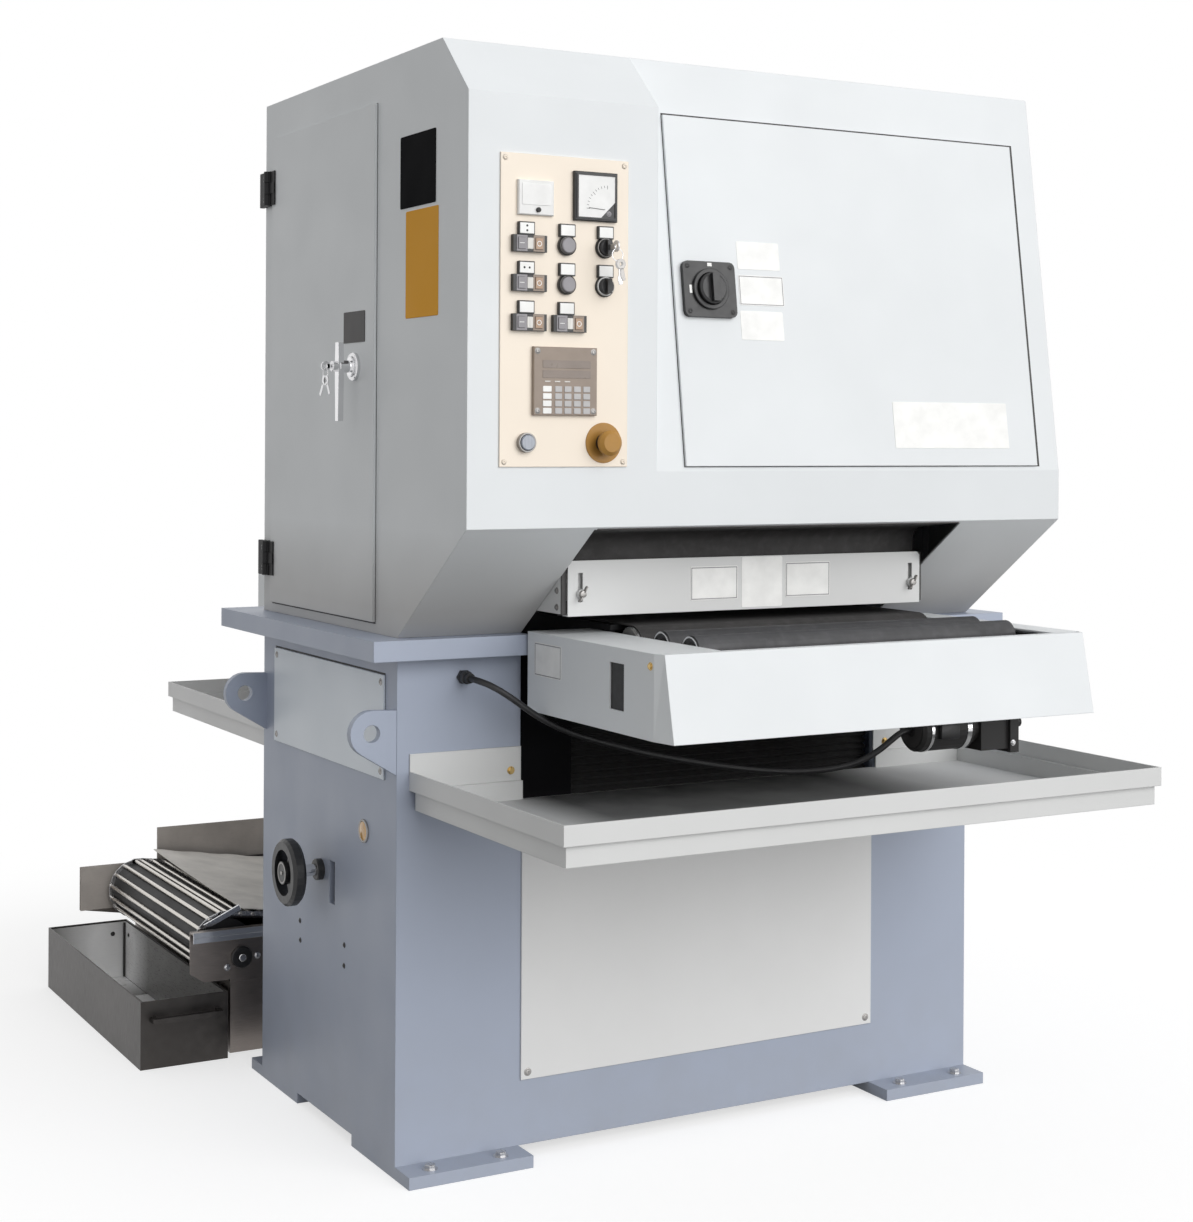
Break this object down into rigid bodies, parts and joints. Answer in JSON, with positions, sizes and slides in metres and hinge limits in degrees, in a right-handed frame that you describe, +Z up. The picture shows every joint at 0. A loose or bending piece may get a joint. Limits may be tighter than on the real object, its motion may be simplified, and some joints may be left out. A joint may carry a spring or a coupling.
{
  "type": "wide belt wet sander",
  "caption": "Floor-standing wet belt sander with a contact drum, a feed belt on a lifting table, coolant trays and a coolant filter.",
  "frame": {"origin": "centre of the whole footprint, on the floor", "axes": "+Z up; +Y from the infeed side at the front to the outfeed side; +X to the operator's right"},
  "size_m": [1.504, 2.053, 1.9003],
  "materials": {
    "base_paint": "satin",
    "hood_paint": "satin",
    "tray_paint": "satin",
    "cream_plate": "satin",
    "black_plastic": "matt",
    "grey_plastic": "matt",
    "white_plastic": "gloss",
    "red_plastic": "gloss",
    "blue_lens": "gloss",
    "amber_plastic": "gloss",
    "steel": "machined",
    "chrome": "polished",
    "stainless": "brushed",
    "belt_rubber": "matt",
    "roller_rubber": "matt",
    "abrasive_cloth": "coarse",
    "cable_rubber": "matt"
  },
  "bodies": {
    "machine": {"base_frame": "base_paint", "front_cover": "tray_paint", "left_cover": "tray_paint", "front_tray": "tray_paint", "rear_tray": "tray_paint", "cabinet_shell": "hood_paint", "drive_side_cover": "hood_paint", "guard_bracket": "tray_paint", "control_panel": "cream_plate", "ammeter": "black_plastic", "load_meter": "white_plastic", "keypad": "grey_plastic", "sanding_frame": "base_paint", "abrasive_belt": "abrasive_cloth", "main_motor": "base_paint", "v_belt": "belt_rubber", "cable_gland": "black_plastic", "conveyor_cable": "cable_rubber", "filter_tank": "stainless", "filter_belt": "steel"},
    "left_door": {"left_door": "hood_paint"},
    "left_handle": {"left_handle": "chrome"},
    "front_door": {"front_door": "hood_paint", "switch_plate": "black_plastic"},
    "switch_knob": {"switch_knob": "black_plastic"},
    "guard_plate": {"guard_plate": "tray_paint"},
    "start_button_1": {"start_button_1": "grey_plastic"},
    "start_button_2": {"start_button_2": "grey_plastic"},
    "start_button_3": {"start_button_3": "grey_plastic"},
    "start_button_4": {"start_button_4": "grey_plastic"},
    "stop_button_1": {"stop_button_1": "red_plastic"},
    "stop_button_2": {"stop_button_2": "red_plastic"},
    "stop_button_3": {"stop_button_3": "red_plastic"},
    "stop_button_4": {"stop_button_4": "red_plastic"},
    "jog_button_up": {"jog_button_up": "grey_plastic"},
    "jog_button_down": {"jog_button_down": "grey_plastic"},
    "reset_button": {"reset_button": "blue_lens"},
    "emergency_stop": {"emergency_stop": "amber_plastic"},
    "key_switch": {"key_switch": "black_plastic"},
    "selector_switch": {"selector_switch": "black_plastic"},
    "feed_table": {"table_frame": "base_paint", "conveyor_belt": "belt_rubber", "front_skirt": "hood_paint", "rear_skirt": "hood_paint", "gear_motor": "steel"},
    "drive_roller": {"drive_roller": "steel"},
    "tail_roller": {"tail_roller": "steel"},
    "infeed_roller_front": {"infeed_roller_front": "roller_rubber"},
    "infeed_roller_rear": {"infeed_roller_rear": "roller_rubber"},
    "lift_screw_1": {"lift_screw_1": "steel"},
    "lift_screw_2": {"lift_screw_2": "steel"},
    "lift_screw_3": {"lift_screw_3": "steel"},
    "lift_screw_4": {"lift_screw_4": "steel"},
    "handwheel": {"handwheel": "black_plastic"},
    "contact_drum": {"contact_drum": "belt_rubber"},
    "tension_yoke": {"tension_yoke": "steel"},
    "tension_roller": {"tension_roller": "steel"},
    "motor_pulley": {"motor_pulley": "steel"},
    "sludge_box": {"sludge_box": "stainless"},
    "filter_head_roller": {"filter_head_roller": "steel"}
  },
  "joints": [
    {"name": "handwheel_turn", "type": "hinge", "parent": "machine", "child": "handwheel", "pos_m": [-0.552, -0.1325, 0.462], "axis": [-1, 0, 0], "range_deg": [-3601, 0]},
    {"name": "table_lift", "type": "slide", "parent": "machine", "child": "feed_table", "axis": [0, 0, 1], "range_m": [-0.05, 0], "deforming": ["conveyor_cable"]},
    {"name": "lift_screw_1_turn", "type": "hinge", "parent": "machine", "child": "lift_screw_1", "pos_m": [-0.132, -0.3535, 0.415], "axis": [0, 0, 1], "range_deg": [-3601, 0]},
    {"name": "lift_screw_2_turn", "type": "hinge", "parent": "machine", "child": "lift_screw_2", "pos_m": [0.368, -0.3535, 0.415], "axis": [0, 0, 1], "range_deg": [-3601, 0]},
    {"name": "lift_screw_3_turn", "type": "hinge", "parent": "machine", "child": "lift_screw_3", "pos_m": [-0.132, 0.0565, 0.415], "axis": [0, 0, 1], "range_deg": [-3601, 0]},
    {"name": "lift_screw_4_turn", "type": "hinge", "parent": "machine", "child": "lift_screw_4", "pos_m": [0.368, 0.0565, 0.415], "axis": [0, 0, 1], "range_deg": [-3601, 0]},
    {"name": "drive_roller_spin", "type": "hinge", "parent": "feed_table", "child": "drive_roller", "pos_m": [-0.19, -0.6385, 0.8987], "axis": [1, 0, 0], "continuous": true},
    {"name": "tail_roller_spin", "type": "hinge", "parent": "feed_table", "child": "tail_roller", "pos_m": [-0.19, 0.7065, 0.8987], "axis": [1, 0, 0], "continuous": true},
    {"name": "infeed_roller_front_spin", "type": "hinge", "parent": "feed_table", "child": "infeed_roller_front", "pos_m": [-0.194, -0.8355, 0.908], "axis": [1, 0, 0], "continuous": true},
    {"name": "infeed_roller_rear_spin", "type": "hinge", "parent": "feed_table", "child": "infeed_roller_rear", "pos_m": [-0.194, -0.7455, 0.908], "axis": [1, 0, 0], "continuous": true},
    {"name": "left_door_hinge", "type": "hinge", "parent": "machine", "child": "left_door", "pos_m": [-0.563, 0.1385, 0.934], "axis": [0, 0, -1], "range_deg": [0, 110]},
    {"name": "left_handle_turn", "type": "hinge", "parent": "left_door", "child": "left_handle", "pos_m": [-0.5578, -0.2945, 1.3775], "axis": [-1, 0, 0], "range_deg": [0, 90]},
    {"name": "front_door_hinge", "type": "hinge", "parent": "machine", "child": "front_door", "pos_m": [0.621, -0.74681, 1.20804], "axis": [0, 0.1384, 0.9904], "range_deg": [0, 100]},
    {"name": "switch_knob_turn", "type": "hinge", "parent": "front_door", "child": "switch_knob", "pos_m": [-0.082, -0.71156, 1.50795], "axis": [0, 0.9904, -0.1384], "range_deg": [0, 90]},
    {"name": "guard_slide", "type": "slide", "parent": "machine", "child": "guard_plate", "axis": [0, 0, 1], "range_m": [-0.012, 0.008]},
    {"name": "start_button_1_press", "type": "slide", "parent": "machine", "child": "start_button_1", "axis": [0, 1, 0], "range_m": [0, 0.003], "stiffness_N_per_m": 400},
    {"name": "start_button_2_press", "type": "slide", "parent": "machine", "child": "start_button_2", "axis": [0, 1, 0], "range_m": [0, 0.003], "stiffness_N_per_m": 400},
    {"name": "start_button_3_press", "type": "slide", "parent": "machine", "child": "start_button_3", "axis": [0, 1, 0], "range_m": [0, 0.003], "stiffness_N_per_m": 400},
    {"name": "start_button_4_press", "type": "slide", "parent": "machine", "child": "start_button_4", "axis": [0, 1, 0], "range_m": [0, 0.003], "stiffness_N_per_m": 400},
    {"name": "stop_button_1_press", "type": "slide", "parent": "machine", "child": "stop_button_1", "axis": [0, 1, 0], "range_m": [0, 0.003], "stiffness_N_per_m": 400},
    {"name": "stop_button_2_press", "type": "slide", "parent": "machine", "child": "stop_button_2", "axis": [0, 1, 0], "range_m": [0, 0.003], "stiffness_N_per_m": 400},
    {"name": "stop_button_3_press", "type": "slide", "parent": "machine", "child": "stop_button_3", "axis": [0, 1, 0], "range_m": [0, 0.003], "stiffness_N_per_m": 400},
    {"name": "stop_button_4_press", "type": "slide", "parent": "machine", "child": "stop_button_4", "axis": [0, 1, 0], "range_m": [0, 0.003], "stiffness_N_per_m": 400},
    {"name": "jog_button_up_press", "type": "slide", "parent": "machine", "child": "jog_button_up", "axis": [0, 1, 0], "range_m": [0, 0.003], "stiffness_N_per_m": 400},
    {"name": "jog_button_down_press", "type": "slide", "parent": "machine", "child": "jog_button_down", "axis": [0, 1, 0], "range_m": [0, 0.003], "stiffness_N_per_m": 400},
    {"name": "reset_button_press", "type": "slide", "parent": "machine", "child": "reset_button", "axis": [0, 1, 0], "range_m": [0, 0.003], "stiffness_N_per_m": 400},
    {"name": "emergency_stop_press", "type": "slide", "parent": "machine", "child": "emergency_stop", "axis": [0, 1, 0], "range_m": [0, 0.003], "stiffness_N_per_m": 400},
    {"name": "key_switch_turn", "type": "hinge", "parent": "machine", "child": "key_switch", "pos_m": [-0.307, -0.7436, 1.564], "axis": [0, 1, 0], "range_deg": [0, 90]},
    {"name": "selector_switch_turn", "type": "hinge", "parent": "machine", "child": "selector_switch", "pos_m": [-0.307, -0.7436, 1.501], "axis": [0, 1, 0], "range_deg": [-45, 45]},
    {"name": "contact_drum_spin", "type": "hinge", "parent": "machine", "child": "contact_drum", "pos_m": [-0.182, -0.1735, 1.0578], "axis": [1, 0, 0], "continuous": true},
    {"name": "tension_slide", "type": "slide", "parent": "machine", "child": "tension_yoke", "axis": [0, 0, 1], "range_m": [-0.02, 0]},
    {"name": "tension_roller_spin", "type": "hinge", "parent": "tension_yoke", "child": "tension_roller", "pos_m": [-0.182, -0.1735, 1.72], "axis": [1, 0, 0], "continuous": true},
    {"name": "motor_pulley_spin", "type": "hinge", "parent": "machine", "child": "motor_pulley", "pos_m": [0.418, 0.0565, 1.43], "axis": [1, 0, 0], "continuous": true},
    {"name": "sludge_box_slide", "type": "slide", "parent": "machine", "child": "sludge_box", "axis": [0, -1, 0], "range_m": [0, 0.6]},
    {"name": "filter_head_spin", "type": "hinge", "parent": "machine", "child": "filter_head_roller", "pos_m": [-0.56, 0.3465, 0.215], "axis": [0, 1, 0], "continuous": true}
  ],
  "couplings": [
    {"joint": "lift_screw_1_turn", "follows": "table_lift", "rad_per_m": 1256.6},
    {"joint": "lift_screw_2_turn", "follows": "table_lift", "rad_per_m": 1256.6},
    {"joint": "lift_screw_3_turn", "follows": "table_lift", "rad_per_m": 1256.6},
    {"joint": "lift_screw_4_turn", "follows": "table_lift", "rad_per_m": 1256.6},
    {"joint": "handwheel_turn", "follows": "table_lift", "rad_per_m": 1256.6},
    {"joint": "tail_roller_spin", "follows": "drive_roller_spin", "ratio": 1},
    {"joint": "tension_roller_spin", "follows": "contact_drum_spin", "ratio": 1.75},
    {"joint": "motor_pulley_spin", "follows": "contact_drum_spin", "ratio": 0.9091}
  ]
}
